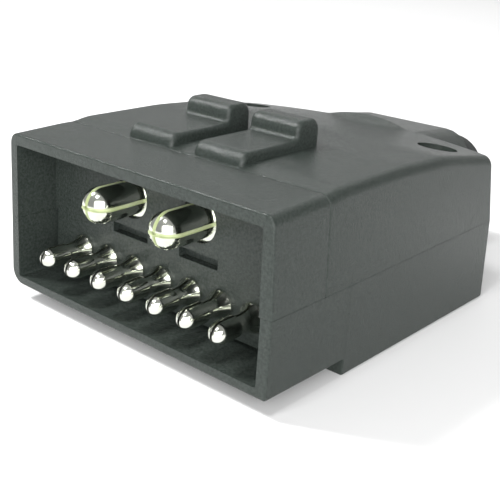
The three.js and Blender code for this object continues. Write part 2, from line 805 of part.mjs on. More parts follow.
const plug = new THREE.Group();
const rearmostY = BOOT.tubeEndY;
const foremostY = SMALL_PIN.tipY;
plug.position.y = -(rearmostY + foremostY) / 2;

const shared = Object.fromEntries(Object.entries(MATERIALS).map(
  ([name, finish]) => [name, new THREE.MeshStandardMaterial({ name, ...finish })],
));

function addPiece(name, material, piece, x = 0, y = 0, z = 0) {
  const { vertProperties, triVerts } = piece.getMesh();
  const geometry = new THREE.BufferGeometry();
  geometry.setAttribute('position', new THREE.BufferAttribute(vertProperties, 3));
  geometry.setIndex(new THREE.BufferAttribute(triVerts, 1));
  geometry.computeVertexNormals();
  const mesh = new THREE.Mesh(geometry, shared[material]);
  mesh.name = name;
  mesh.position.set(x, y, z);
  plug.add(mesh);
}

/** A pin and the screw that grips its wire. */
function addPin(pin, label, x) {
  const size = pin === SMALL_PIN ? 'small' : 'large';
  const terminalScrew = screwOf(pin);
  addPiece(`${size}_pin_${label}`, 'pin', contactPin(pin), x, 0, pin.z);
  addPiece(
    `${size}_terminal_screw_${label}`,
    'screw',
    screw(terminalScrew, terminalScrew.reach),
    x,
    pin.screwY,
    pin.z + pin.padHeight + GAP,
  );
}

addPiece('lower_housing', 'shell', lowerHousing());
addPiece('top_cover', 'shell', topCover());
addPiece('pin_carrier', 'carrier', pinCarrier());
addPiece('small_pin_retainer', 'retainer', smallPinRetainer());
addPiece('large_pin_retainer', 'retainer', largePinRetainer());
addPiece('cable_boot', 'rubber', cableBoot());
addPiece('cable_clamp', 'retainer', cableClamp());

for (let number = 1; number <= SMALL_PIN.count; number++) {
  addPin(SMALL_PIN, number, smallPinX(number));
}

for (const [label, side] of [['left', -1], ['right', 1]]) {
  addPin(LARGE_PIN, label, side * LARGE_PIN.x);
  addPiece(
    `cover_screw_${label}`,
    'screw',
    screw(COVER_SCREW, COVER_SCREW.seatZ + GAP - COVER_SCREW.tipZ),
    side * COVER_SCREW.x,
    COVER_SCREW.y,
    COVER_SCREW.seatZ + GAP,
  );
  addPiece(
    `clamp_screw_${label}`,
    'screw',
    screw(CLAMP_SCREW, CLAMP.saddleTopZ + GAP - CLAMP.screwTipZ),
    side * CLAMP.screwX,
    (CLAMP.startY + CLAMP.endY) / 2,
    CLAMP.saddleTopZ + GAP,
  );
}

export default plug;
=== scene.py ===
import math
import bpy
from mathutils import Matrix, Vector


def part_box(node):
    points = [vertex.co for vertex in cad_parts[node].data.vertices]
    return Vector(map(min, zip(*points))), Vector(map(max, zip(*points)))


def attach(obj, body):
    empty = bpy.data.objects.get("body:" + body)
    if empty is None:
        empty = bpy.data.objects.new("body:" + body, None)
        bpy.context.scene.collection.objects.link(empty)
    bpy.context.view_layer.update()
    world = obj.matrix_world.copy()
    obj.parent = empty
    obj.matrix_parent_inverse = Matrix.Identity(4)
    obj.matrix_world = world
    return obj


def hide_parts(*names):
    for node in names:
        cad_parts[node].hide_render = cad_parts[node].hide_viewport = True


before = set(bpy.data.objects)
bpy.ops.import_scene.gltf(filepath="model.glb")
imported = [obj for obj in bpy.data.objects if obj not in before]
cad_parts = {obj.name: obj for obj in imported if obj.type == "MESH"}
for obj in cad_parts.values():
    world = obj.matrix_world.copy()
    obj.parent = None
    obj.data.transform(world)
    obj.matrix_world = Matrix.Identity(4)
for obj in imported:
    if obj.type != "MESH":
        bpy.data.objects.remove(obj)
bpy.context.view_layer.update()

# A flat multi-pole trailer plug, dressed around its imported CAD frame.
#
# Sizes are in millimetres in the mouth frame: x runs across the plug, y from the plane of the mouth
# towards the cable, z up from the surface that the plug rests on. into_frame() moves each finished
# mesh into the CAD frame and into metres.

from types import SimpleNamespace as Sizes

import bpy
from mathutils import Matrix, Vector

MM = 0.001
MOUTH_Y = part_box("lower_housing")[0].y / MM
PARTING_Z = (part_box("lower_housing")[1].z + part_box("top_cover")[0].z) / 2 / MM
RIB_TOP_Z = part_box("top_cover")[1].z / MM

# ---------------------------------------------------------------- driving sizes

GAP = 0.3
JOINT = 0.03
SEAM = 0.07
OVERRUN = 1.0

BODY = Sizes(
    half_width=27.7, side_draft=0.036, top_z=28.15, mouth_base_z=2.55, step_y=17.0, seam_y=11.2,
    rear_side_y=59.4, rear_bulge=3.5, rear_lean=0.2, wall=2.0, mouth_wall=1.75, mouth_floor=1.45,
)
EDGE = Sizes(
    low=0.4, mouth_left=2.3, rear=0.7, top=1.6, room_top=0.6, parting=0.03, step=0.3, rim=0.3,
    inside=0.4, softened=0.05,
)
RIGHT_DRAFT = Sizes(reach=0.75, over_y=62.0)
MOUTH_TAPER = Sizes(drop=0.35, drop_length=9.0, narrowing=0.2, narrowing_length=17.0)
TOP = Sizes(
    rise=0.45, rise_start_y=11.2, rise_end_y=15.0, rise_fall_y=29.0, rise_over_y=40.0,
    fall_start_y=38.0, ease_length=6.5, ease_rate=0.0125, slope=0.165, centre_share=0.56,
    arch_z=27.6, arch_radius=28.0, arch_start_y=57.2, arch_end_y=59.6,
)
CABLE = Sizes(z=14.1, radius=5.2)
SPOUT = Sizes(
    base_y=60.0, end_y=75.0, base_half=15.9, end_half=14.3, base_half_height=12.3,
    end_half_height=10.3, corner_radius=5.7, edge=0.5, foot=0.3, root_shrink=3.0,
)
RIB = Sizes(
    width=9.6, centres=(-7.95, 5.95), start_y=11.9, step_y=24.4, end_y=29.8, low_z=30.2,
    high_z=RIB_TOP_Z, low_radius=2.0, high_radius=1.7, foot_radius=0.8, side_radius=1.4,
)
CARRIER = Sizes(face_y=7.5, back_y=15.2, inset=2.3, base_z=4.75, top_inset=2.3)
POCKET = Sizes(x=7.15, width=7.65, z=14.8, height=1.6, depth=1.4)
STOP = Sizes(inner_x=22.0, start_y=15.5, end_y=17.0)

SMALL_PIN = Sizes(
    name="small", numbers=7, pitch=6.0, z=9.25, tip_y=-1.17, radius=1.6, stem_radius=1.38,
    stem_step_y=3.4, flare_start_y=4.6, flare_y=7.0, flare_radius=2.25, flare_power=1.8,
    flare_end_y=7.45, shank_radius=1.8, hole_radius=2.1, groove_radius=1.3, barrel_radius=1.8,
    end_y=31.0, bore_radius=1.05, bore_depth=8.0, slot_width=0.4, slot_end_y=6.9, slot_depth=None,
    cross_slot=False, dome_share=0.66, screw_y=27.5, pad_height=1.4, segments=48,
)
LARGE_PIN = Sizes(
    name="large", x=7.0, z=20.5, tip_y=-1.2, radius=2.77, stem_radius=2.7,
    stem_step_y=5.6, flare_start_y=7.9, flare_y=8.0, flare_radius=3.3, flare_power=0.8,
    flare_end_y=8.6, shank_radius=3.1, hole_radius=3.4, groove_radius=2.2, barrel_radius=3.1,
    end_y=26.0, bore_radius=1.9, bore_depth=7.0, slot_width=0.6, slot_end_y=7.8, slot_depth=0.35,
    cross_slot=True, dome_share=1.0, screw_y=22.0, pad_height=2.4, segments=72,
)
PIN_GROOVE = Sizes(start_y=15.4, end_y=17.0)
RETAINER = Sizes(start_y=15.6, end_y=16.8, small_half_x=20.6, large_half_x=11.6, small_top_z=12.1)

SMALL_TERMINAL_SCREW = Sizes(head_radius=1.7, head_height=1.2, shank_radius=0.75, pitch=0.35)
LARGE_TERMINAL_SCREW = Sizes(head_radius=2.3, head_height=1.5, shank_radius=1.05, pitch=0.4)
COVER_SCREW = Sizes(
    head_radius=2.85, head_height=1.6, shank_radius=1.5, pitch=1.0, x=20.0, y=50.3, seat_z=23.3,
    tip_z=6.3, recess_radius=3.3, boss_radius=4.2,
)
CLAMP_SCREW = Sizes(head_radius=2.5, head_height=1.5, shank_radius=1.4, pitch=0.7)
CLAMP = Sizes(
    half_x=14.0, start_y=44.5, end_y=49.5, cradle_top_z=12.8, saddle_bottom_z=15.9,
    saddle_top_z=20.9, screw_x=10.3, screw_tip_z=5.3,
)
BOOT = Sizes(
    lip_start_y=75.4, lip_end_y=78.0, lip_half=15.8, lip_half_height=8.95, lip_corner=6.5,
    core_half=11.7, core_half_height=7.7, flange_half=13.3, flange_half_height=9.2,
    flange_start_y=53.4, flange_end_y=55.4, corner=5.0, tube_end_y=83.0, tube_radius=7.8,
    tube_end_radius=7.1, fold_depth=0.5, folds=3,
)
SCREW_SLOT = Sizes(width=0.6, depth_share=0.55)
CORNER_STEPS = 6
TIP_STEPS = 12
FLARE_STEPS = 12
LENGTH_STEPS = 40
TOP_STEPS = 24
WELD_REACH = 0.002
ROUND_SEGMENTS = 48

# ---------------------------------------------------------------- camera

CAMERA = Sizes(
    eye=Vector((87.6, -78.29, 61.5)), forward=Vector((-0.595, 0.720, -0.358)),
    right=Vector((0.757, 0.651, 0.053)), focal_length=63.54,
)


def into_frame(point):
    return Vector((point.x, point.y + MOUTH_Y, point.z)) * MM


def add_camera():
    data = bpy.data.cameras.new("camera")
    data.lens = CAMERA.focal_length
    data.sensor_width = 36
    data.clip_start = 0.001
    camera = bpy.data.objects.new("camera", data)
    bpy.context.scene.collection.objects.link(camera)
    back = -CAMERA.forward.normalized()
    up = back.cross(CAMERA.right).normalized()
    right = up.cross(back)
    camera.matrix_world = (
        Matrix.Translation(into_frame(CAMERA.eye)) @ Matrix((right, up, back)).transposed().to_4x4()
    )
    bpy.context.scene.camera = camera


add_camera()

# ---------------------------------------------------------------- mesh tools


def smoothstep(value, start, end):
    share = min(1.0, max(0.0, (value - start) / (end - start)))
    return share * share * (3 - 2 * share)


def lerp(start, end, share):
    return start + (end - start) * share


def quarter_turn(steps=CORNER_STEPS):
    """Angles from 0 to a right angle."""
    return [math.pi / 2 * i / steps for i in range(steps + 1)]


def new_solid(points, faces):
    mesh = bpy.data.meshes.new("solid")
    mesh.from_pydata(points, [], faces)
    mesh.validate()
    solid = bpy.data.objects.new("solid", mesh)
    bpy.context.scene.collection.objects.link(solid)
    return solid


def loft(rings, wall_y=None):
    """Skins rings of equal length and closes each end by a fan, or the rear by a grid along a wall."""
    count = len(rings[0])
    points = [point for ring in rings for point in ring]
    faces = []
    for ring in range(len(rings) - 1):
        for i in range(count):
            near, near_next = ring * count + i, ring * count + (i + 1) % count
            faces.append((near, near + count, near_next + count, near_next))
    last = (len(rings) - 1) * count
    ends = [(0, False)] if wall_y else [(0, False), (last, True)]
    for start, is_rear in ends:
        hub = len(points)
        points.append(sum((points[start + i] for i in range(count)), Vector()) / count)
        for i in range(count):
            pair = (start + i, start + (i + 1) % count)
            faces.append((hub, *(pair if not is_rear else reversed(pair))))
    if wall_y:
        close_along_wall(points, faces, last, count, wall_y)
    return new_solid(points, faces)


def close_along_wall(points, faces, start, count, wall_y, rows=10):
    """Closes the ring of a section at the rear with a grid whose inner points lie on the wall."""
    top_centre = count // 2
    corner_start = TOP_STEPS
    corner_end = top_centre - TOP_STEPS

    def ring_point(i, side):
        return start + (i if side >= 0 else (count - i) % count)

    columns = []
    for step in range(-TOP_STEPS, TOP_STEPS + 1):
        low = ring_point(abs(step), step)
        high = ring_point(top_centre - abs(step), step)
        column = [low]
        for row in range(1, rows):
            place = points[low].lerp(points[high], row / rows)
            column.append(len(points))
            points.append(Vector((place.x, wall_y(place.x, place.z), place.z)))
        columns.append([*column, high])
    for left, right in zip(columns, columns[1:]):
        for row in range(rows):
            faces.append((left[row], left[row + 1], right[row + 1], right[row]))
    corner = range(corner_start + 1, corner_end)
    faces.append((*columns[-1], *(ring_point(i, 1) for i in reversed(corner))))
    faces.append((*reversed(columns[0]), *(ring_point(i, -1) for i in corner)))


def revolve(profile, segments=ROUND_SEGMENTS, axis="Y"):
    """Turns (radius, along) points about y or z. The profile starts and ends on the axis."""
    points, faces = [], []
    loops = []
    for radius, along in profile:
        loop = []
        for i in range(segments if radius > 0 else 1):
            angle = 2 * math.pi * i / segments
            u, v = radius * math.cos(angle), radius * math.sin(angle)
            loop.append(len(points))
            points.append(Vector((v, along, u)) if axis == "Y" else Vector((u, v, along)))
        loops.append(loop)
    for near, far in zip(loops, loops[1:]):
        for i in range(segments):
            j = (i + 1) % segments
            corners = (near[i % len(near)], near[j % len(near)], far[j % len(far)], far[i % len(far)])
            faces.append(tuple(dict.fromkeys(corners)))
    return new_solid(points, faces)


def moved(solid, x=0.0, y=0.0, z=0.0):
    solid.data.transform(Matrix.Translation((x, y, z)))
    return solid


def block(x, y, z):
    points = [Vector((i, j, k)) for k in z for j in y for i in x]
    faces = [(0, 2, 3, 1), (4, 5, 7, 6), (0, 1, 5, 4), (2, 6, 7, 3), (0, 4, 6, 2), (1, 3, 7, 5)]
    return new_solid(points, faces)


def rod_z(radius, x, y, z, segments=ROUND_SEGMENTS):
    return moved(revolve([(0, z[0]), (radius, z[0]), (radius, z[1]), (0, z[1])], segments, "Z"), x, y)


def rod_y(radius, x, y, z, segments=ROUND_SEGMENTS):
    return moved(revolve([(0, y[0]), (radius, y[0]), (radius, y[1]), (0, y[1])], segments), x, 0, z)


def bake_modifiers(solid):
    depsgraph = bpy.context.evaluated_depsgraph_get()
    baked = bpy.data.meshes.new_from_object(solid.evaluated_get(depsgraph))
    solid.modifiers.clear()
    plain = solid.data
    solid.data = baked
    bpy.data.meshes.remove(plain)
    return solid


def combine(operation, first, others):
    for other in others:
        boolean = first.modifiers.new(operation, "BOOLEAN")
        boolean.operation = operation
        boolean.solver = "EXACT"
        boolean.object = other
    bake_modifiers(first)
    for other in others:
        bpy.data.objects.remove(other)
    return first


def join(first, *others):
    return combine("UNION", first, others)


def cut(first, *others):
    return combine("DIFFERENCE", first, others)


def soften(solid, width, segments=2, angle=40):
    """Rounds the sharp edges that joining and cutting leave."""
    weld = solid.modifiers.new("weld", "WELD")
    weld.merge_threshold = WELD_REACH
    bevel = solid.modifiers.new("soften", "BEVEL")
    bevel.width = width
    bevel.segments = segments
    bevel.limit_method = "ANGLE"
    bevel.angle_limit = math.radians(angle)
    bevel.use_clamp_overlap = True
    return bake_modifiers(solid)


def finished(solid, name, body, nodes, materials, smooth_angle=32):
    """Names a solid, moves it into the CAD frame, gives it its materials, ties it to its body and hides
    the CAD nodes it stands for.
    """
    mesh = solid.data
    mesh.transform(Matrix.Scale(MM, 4) @ Matrix.Translation((0, MOUTH_Y, 0)))
    for polygon in mesh.polygons:
        polygon.use_smooth = True
    mesh.set_sharp_from_angle(angle=math.radians(smooth_angle))
    solid.name = name
    mesh.name = name
    for material in materials:
        mesh.materials.append(material)
    normals = solid.modifiers.new("normals", "WEIGHTED_NORMAL")
    normals.keep_sharp = True
    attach(solid, body)
    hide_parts(*nodes)
    return solid


# ---------------------------------------------------------------- outer form


def half_width_at(z):
    return BODY.half_width - BODY.side_draft * z


def narrowing_at(y):
    """How much narrower each side is at y than behind the mouth."""
    return MOUTH_TAPER.narrowing * max(0.0, 1 - max(0.0, y) / MOUTH_TAPER.narrowing_length)


def right_draft_at(y, z):
    """How much further the right side leans in below the parting line, mostly near the mouth."""
    return RIGHT_DRAFT.reach * max(0.0, 1 - z / PARTING_Z) * max(0.0, 1 - y / RIGHT_DRAFT.over_y)


def rear_y(x, z):
    """The rear wall bulges out in the middle and leans forward above the parting line."""
    bulge = BODY.rear_bulge * (1 - (x / BODY.half_width) ** 2)
    return BODY.rear_side_y + bulge - BODY.rear_lean * max(0.0, z - PARTING_Z)


def top_z(x, y):
    """Height of the cover's top: level, then falling to the rear, with an arch over the cable."""
    lift = TOP.rise * smoothstep(y, TOP.rise_start_y, TOP.rise_end_y)
    lift *= 1 - smoothstep(y, TOP.rise_fall_y, TOP.rise_over_y)
    past = max(0.0, y - TOP.fall_start_y)
    eased = min(past, TOP.ease_length)
    fall = TOP.ease_rate * eased**2 + TOP.slope * (past - eased)
    share = TOP.centre_share + (1 - TOP.centre_share) * (x / half_width_at(BODY.top_z)) ** 2
    drop = MOUTH_TAPER.drop * max(0.0, 1 - y / MOUTH_TAPER.drop_length)
    plain = BODY.top_z + lift - drop - fall * share
    arch = TOP.arch_z - x**2 / (2 * TOP.arch_radius)
    return plain + max(0.0, arch - plain) * smoothstep(y, TOP.arch_start_y, TOP.arch_end_y)


def half_ring(half_at, bottom, top_at, y_at, bottom_radius, top_radius):
    """The right half of a cross-section, from the middle of its bottom to the middle of its top."""
    points = []

    def add(x, z):
        points.append(Vector((x, y_at(x, z), z)))

    centre_x = half_at(bottom) - bottom_radius
    for i in range(TOP_STEPS):
        add(centre_x * i / TOP_STEPS, bottom)
    for angle in quarter_turn():
        add(centre_x + bottom_radius * math.sin(angle), bottom + bottom_radius * (1 - math.cos(angle)))
    rough_top = top_at(half_at(bottom), y_at(half_at(bottom), bottom))
    corner_x = half_at(rough_top) - top_radius
    corner_top = top_at(corner_x, y_at(corner_x, rough_top))
    for angle in quarter_turn():
        add(corner_x + top_radius * math.cos(angle), corner_top - top_radius * (1 - math.sin(angle)))
    for i in range(1, TOP_STEPS + 1):
        x = corner_x * (1 - i / TOP_STEPS)
        add(x, top_at(x, y_at(x, corner_top)))
    return points


def section_ring(half_at, bottom, top_at, y_at, bottom_radius, top_radius, left_bottom_radius=None):
    """One closed ring from the bottom's middle, whose place along y is y_at(x, z)."""
    left_radius = bottom_radius if left_bottom_radius is None else left_bottom_radius

    def right_half_at(z):
        return half_at(z) - right_draft_at(y_at(0, z), z)

    right = half_ring(right_half_at, bottom, top_at, y_at, bottom_radius, top_radius)
    left = half_ring(half_at, bottom, top_at, y_at, left_radius, top_radius)
    return right + [Vector((-point.x, point.y, point.z)) for point in reversed(left[1:-1])]


def rounded_front(front_y, radius):
    """Places and shrinkages of the rings that round a front edge, from the front backwards."""
    places = []
    for angle in quarter_turn(3)[:-1]:
        y = front_y + radius * (1 - math.cos(angle))
        places.append((lambda x, z, y=y: y, radius * (1 - math.sin(angle))))
    return places


def body_stretch(
    front_y, bottom, bottom_radius, top_radius, end_y=None, top=None, inset=0.0, front_edge=0.0,
    left_bottom_radius=None,
):
    """A stretch of the outer form, flat at front_y, ending at end_y or along the rear wall."""
    edge = 0.0
    if end_y is None:
        edge = EDGE.inside if inset else EDGE.rear
    count = LENGTH_STEPS if end_y is None or top is None else 1
    rounded_top = top_radius > EDGE.parting
    rounded_bottom = bottom_radius > EDGE.parting

    def end_at(x, z):
        return rear_y(x, z) - inset if end_y is None else end_y

    def highest(x, y, shrink):
        plain = top_z(x, y) if top is None else top
        return plain - (inset + shrink if rounded_top else 0.0)

    places = rounded_front(front_y, front_edge) if front_edge else []
    for share in (i / count for i in range(count + 1)):
        places.append((
            lambda x, z, share=share: lerp(front_y + front_edge, end_at(x, z) - edge, share), 0.0,
        ))
    for angle in quarter_turn()[1:] if edge else ():
        places.append((
            lambda x, z, angle=angle: end_at(x, z) - edge * (1 - math.sin(angle)),
            edge * (1 - math.cos(angle)),
        ))
    rings = [
        section_ring(
            half_at=lambda z: half_width_at(z) - narrowing_at(y_at(0, z)) - inset - shrink,
            bottom=bottom + (shrink if rounded_bottom else 0.0),
            top_at=lambda x, y: highest(x, y, shrink),
            y_at=y_at, bottom_radius=bottom_radius, top_radius=top_radius,
            left_bottom_radius=left_bottom_radius,
        )
        for y_at, shrink in places
    ]
    return loft(rings, wall_y=end_at if end_y is None else None)


def spout_half(up):
    """One half of the spout: above the parting line when up is 1, below it when up is -1."""
    parting_z = PARTING_Z + up * JOINT / 2
    places = [
        (lambda x, z: rear_y(x, z) - BODY.wall - OVERRUN, SPOUT.root_shrink),
        (lambda x, z: rear_y(x, z) + SPOUT.foot, SPOUT.edge),
        (lambda x, z: rear_y(x, z) + SPOUT.foot + SPOUT.edge, 0.0),
        (lambda x, z: SPOUT.end_y - SPOUT.edge, 0.0),
    ]
    for angle in quarter_turn(4)[1:]:
        y = SPOUT.end_y - SPOUT.edge * (1 - math.sin(angle))
        places.append((lambda x, z, y=y: y, SPOUT.edge * (1 - math.cos(angle))))
    rings = []
    for y_at, shrink in places:
        taper = (y_at(0, CABLE.z) - SPOUT.base_y) / (SPOUT.end_y - SPOUT.base_y)
        half = lerp(SPOUT.base_half, SPOUT.end_half, taper) - shrink
        reach = lerp(SPOUT.base_half_height, SPOUT.end_half_height, taper) - shrink
        rings.append(section_ring(
            half_at=lambda z: half,
            bottom=parting_z if up > 0 else CABLE.z - reach,
            top_at=lambda x, y: CABLE.z + reach if up > 0 else parting_z,
            y_at=y_at,
            bottom_radius=EDGE.parting if up > 0 else SPOUT.corner_radius,
            top_radius=SPOUT.corner_radius if up > 0 else EDGE.parting,
        ))
    return loft(rings)


def bar_ring(half, half_height, radius, y):
    """A rounded rectangle about the cable's axis, anticlockwise seen from the mouth."""
    ring = []
    for quarter, (side, up) in enumerate(((1, 1), (-1, 1), (-1, -1), (1, -1))):
        for angle in quarter_turn(8):
            turn = angle + quarter * math.pi / 2
            x = side * (half - radius) + radius * math.cos(turn)
            z = up * (half_height - radius) + radius * math.sin(turn)
            ring.append(Vector((x, y, CABLE.z + z)))
    return ring


def rounded_bar(half, half_height, radius, y, edge=0.0):
    """A rounded rectangular bar along y about the cable's axis, with rounded end edges."""
    if not edge:
        return loft([bar_ring(half, half_height, radius, end) for end in y])
    angles = quarter_turn(4)
    front = [(y[0] + edge * (1 - math.cos(a)), edge * (1 - math.sin(a))) for a in angles]
    rear = [(y[1] - edge * (1 - math.cos(a)), edge * (1 - math.sin(a))) for a in reversed(angles)]
    return loft([
        bar_ring(half - shrink, half_height - shrink, radius - shrink, place)
        for place, shrink in front + rear
    ])


def mouth_cavity():
    return body_stretch(
        -OVERRUN, BODY.mouth_base_z + BODY.mouth_floor, EDGE.inside, EDGE.inside,
        end_y=CARRIER.face_y, top=BODY.top_z - MOUTH_TAPER.drop, inset=BODY.mouth_wall,
    )


def bore_along_cable():
    return rounded_bar(
        BOOT.core_half + GAP, BOOT.core_half_height + GAP, BOOT.corner,
        (BODY.rear_side_y - 3 * BODY.wall, SPOUT.end_y + OVERRUN),
    )


def both_sides(make):
    return [make(-1), make(1)]


def side_block(side, inner_x, outer_x, y, z):
    return block((inner_x, outer_x) if side > 0 else (-outer_x, -inner_x), y, z)


def screw_bore(side, radius, z):
    return rod_z(radius, side * COVER_SCREW.x, COVER_SCREW.y, z)


# ---------------------------------------------------------------- shells


def housing_shell():
    top = PARTING_Z - JOINT / 2
    mouth = body_stretch(
        0, BODY.mouth_base_z, EDGE.low, EDGE.parting, end_y=BODY.step_y + OVERRUN, top=top,
        front_edge=EDGE.rim, left_bottom_radius=EDGE.mouth_left,
    )
    rear = body_stretch(BODY.step_y, 0, EDGE.low, EDGE.parting, top=top, front_edge=EDGE.step)
    mouth_room = body_stretch(
        -OVERRUN, BODY.mouth_base_z + BODY.mouth_floor, EDGE.inside, EDGE.parting,
        end_y=BODY.step_y + 2 * BODY.wall, top=PARTING_Z + OVERRUN, inset=BODY.mouth_wall,
    )
    wiring_room = body_stretch(
        BODY.step_y + BODY.wall, BODY.wall, EDGE.inside, EDGE.parting, top=PARTING_Z + OVERRUN,
        inset=BODY.wall,
    )
    stops = both_sides(lambda side: side_block(
        side, STOP.inner_x, half_width_at(0) - BODY.mouth_wall / 2, (STOP.start_y, STOP.end_y),
        (BODY.mouth_base_z + OVERRUN, top),
    ))
    bosses = both_sides(lambda side: screw_bore(side, COVER_SCREW.boss_radius, (OVERRUN, top)))
    cradle = block(
        (-CLAMP.half_x, CLAMP.half_x), (CLAMP.start_y, CLAMP.end_y), (OVERRUN, CLAMP.cradle_top_z),
    )
    cable_path = rod_y(CABLE.radius, 0, (CLAMP.start_y - OVERRUN, CLAMP.end_y + OVERRUN), CABLE.z)
    cover_screw_holes = both_sides(lambda side: screw_bore(
        side, COVER_SCREW.shank_radius + GAP, (COVER_SCREW.tip_z - GAP, PARTING_Z),
    ))
    clamp_screw_holes = both_sides(lambda side: rod_z(
        CLAMP_SCREW.shank_radius + GAP, side * CLAMP.screw_x, (CLAMP.start_y + CLAMP.end_y) / 2,
        (CLAMP.screw_tip_z - GAP, PARTING_Z),
    ))
    shell = cut(join(mouth, rear, spout_half(-1)), mouth_room, wiring_room, bore_along_cable())
    shell = join(shell, *stops, *bosses, cradle)
    shell = cut(shell, cable_path, *cover_screw_holes, *clamp_screw_holes)
    return soften(shell, EDGE.softened)


def latch_rib(centre_x):
    """One stepped rib: a low rounded ramp in front of a taller block, drawn from the side."""
    sunk_z = BODY.top_z - OVERRUN
    side = [(RIB.start_y, sunk_z), (RIB.end_y, sunk_z)]
    high_z, low_z = RIB.high_z, RIB.low_z
    for angle in quarter_turn():
        y = RIB.end_y - RIB.high_radius * (1 - math.cos(angle))
        side.append((y, high_z - RIB.high_radius * (1 - math.sin(angle))))
    for angle in quarter_turn():
        y = RIB.step_y + RIB.high_radius * (1 - math.sin(angle))
        side.append((y, high_z - RIB.high_radius * (1 - math.cos(angle))))
    for angle in quarter_turn():
        y = RIB.step_y - RIB.foot_radius * (1 - math.cos(angle))
        side.append((y, low_z + RIB.foot_radius * (1 - math.sin(angle))))
    for angle in quarter_turn():
        y = RIB.start_y + RIB.low_radius * (1 - math.sin(angle))
        side.append((y, low_z - RIB.low_radius * (1 - math.cos(angle))))
    outline = list(dict.fromkeys((round(y, 6), round(z, 6)) for y, z in side))
    count = len(outline)
    left_x, right_x = centre_x - RIB.width / 2, centre_x + RIB.width / 2
    points = [Vector((x, y, z)) for x in (left_x, right_x) for y, z in outline]
    faces = [tuple(reversed(range(count))), tuple(range(count, 2 * count))]
    faces += [(i, (i + 1) % count, count + (i + 1) % count, count + i) for i in range(count)]
    return soften(new_solid(points, faces), RIB.side_radius, segments=5)


def cover_shell():
    bottom = PARTING_Z + JOINT / 2
    outer = body_stretch(BODY.seam_y, bottom, EDGE.parting, EDGE.top, front_edge=EDGE.rim)
    room = body_stretch(
        BODY.seam_y - OVERRUN, PARTING_Z - OVERRUN, EDGE.parting, EDGE.room_top, inset=BODY.wall,
    )
    stops = both_sides(lambda side: side_block(
        side, STOP.inner_x, half_width_at(BODY.top_z) - BODY.wall / 2, (STOP.start_y, STOP.end_y),
        (bottom, BODY.top_z - BODY.wall / 2),
    ))
    bosses = both_sides(lambda side: screw_bore(
        side, COVER_SCREW.boss_radius, (bottom, COVER_SCREW.seat_z + BODY.wall),
    ))
    recesses = both_sides(lambda side: screw_bore(
        side, COVER_SCREW.recess_radius, (COVER_SCREW.seat_z, BODY.top_z + OVERRUN),
    ))
    screw_holes = both_sides(lambda side: screw_bore(
        side, COVER_SCREW.shank_radius + GAP, (PARTING_Z - OVERRUN, BODY.top_z),
    ))
    ribs = [latch_rib(centre_x) for centre_x in RIB.centres]
    shell = cut(join(outer, spout_half(1)), room, bore_along_cable())
    shell = cut(join(shell, *ribs, *stops, *bosses), *recesses, *screw_holes)
    return soften(shell, EDGE.softened)


# ---------------------------------------------------------------- pins and their carrier


def small_pin_x(number):
    return (number - (SMALL_PIN.numbers + 1) / 2) * SMALL_PIN.pitch


PIN_PLACES = [
    *((SMALL_PIN, str(number), small_pin_x(number)) for number in range(1, SMALL_PIN.numbers + 1)),
    (LARGE_PIN, "left", -LARGE_PIN.x),
    (LARGE_PIN, "right", LARGE_PIN.x),
]


def pin_block():
    """The block that holds the pins, in one piece with the hood that roofs the mouth."""
    hood = body_stretch(
        0, PARTING_Z + JOINT / 2, EDGE.parting, EDGE.top, end_y=BODY.seam_y - SEAM,
        front_edge=EDGE.rim,
    )
    core = body_stretch(
        CARRIER.face_y - OVERRUN, CARRIER.base_z, EDGE.inside, EDGE.room_top, end_y=CARRIER.back_y,
        top=BODY.top_z, inset=CARRIER.inset,
    )
    holes = [
        rod_y(pin.hole_radius, x, (0, CARRIER.back_y + OVERRUN), pin.z) for pin, _, x in PIN_PLACES
    ]
    pockets = both_sides(lambda side: side_block(
        side, POCKET.x - POCKET.width / 2, POCKET.x + POCKET.width / 2,
        (0, CARRIER.face_y + POCKET.depth),
        (POCKET.z - POCKET.height / 2, POCKET.z + POCKET.height / 2),
    ))
    return soften(cut(join(hood, core), mouth_cavity(), *holes, *pockets), EDGE.softened)


def dome_profile(radius, tip_y, share=1.0):
    """(radius, along) of a rounded tip; below a share of 1 it ends in a crisp shoulder."""
    sweep = share * math.pi / 2
    dome = []
    for turn in quarter_turn(TIP_STEPS):
        angle = turn * share
        out = radius * math.sin(angle) / math.sin(sweep)
        along = radius * (1 - math.cos(angle)) / (1 - math.cos(sweep))
        dome.append((out, tip_y + along))
    return dome


def pin_profile(pin):
    """(radius, along) from the tip: dome, stem, flare, shank, retaining groove and wire barrel."""
    flare = []
    for share in (i / FLARE_STEPS for i in range(FLARE_STEPS + 1)):
        radius = lerp(pin.stem_radius, pin.flare_radius, share**pin.flare_power)
        flare.append((radius, lerp(pin.flare_start_y, pin.flare_y, share)))
    bore_end = pin.end_y - pin.bore_depth
    return [
        *dome_profile(pin.radius, pin.tip_y, pin.dome_share),
        (pin.radius, pin.stem_step_y), (pin.stem_radius, pin.stem_step_y + GAP / 2),
        *flare,
        (pin.flare_radius, pin.flare_end_y), (pin.shank_radius, pin.flare_end_y),
        (pin.shank_radius, PIN_GROOVE.start_y), (pin.groove_radius, PIN_GROOVE.start_y),
        (pin.groove_radius, PIN_GROOVE.end_y), (pin.barrel_radius, PIN_GROOVE.end_y),
        (pin.barrel_radius, pin.end_y), (pin.bore_radius, pin.end_y), (pin.bore_radius, bore_end),
        (0, bore_end),
    ]


def slot_core(pin):
    """The brass that shows at the bottom of a shallow slot."""
    radius = pin.radius - pin.slot_depth
    end_y = pin.slot_end_y + OVERRUN
    dome = dome_profile(radius, pin.tip_y + 2 * pin.slot_depth)
    return revolve([*dome, (radius, end_y), (0, end_y)], pin.segments)


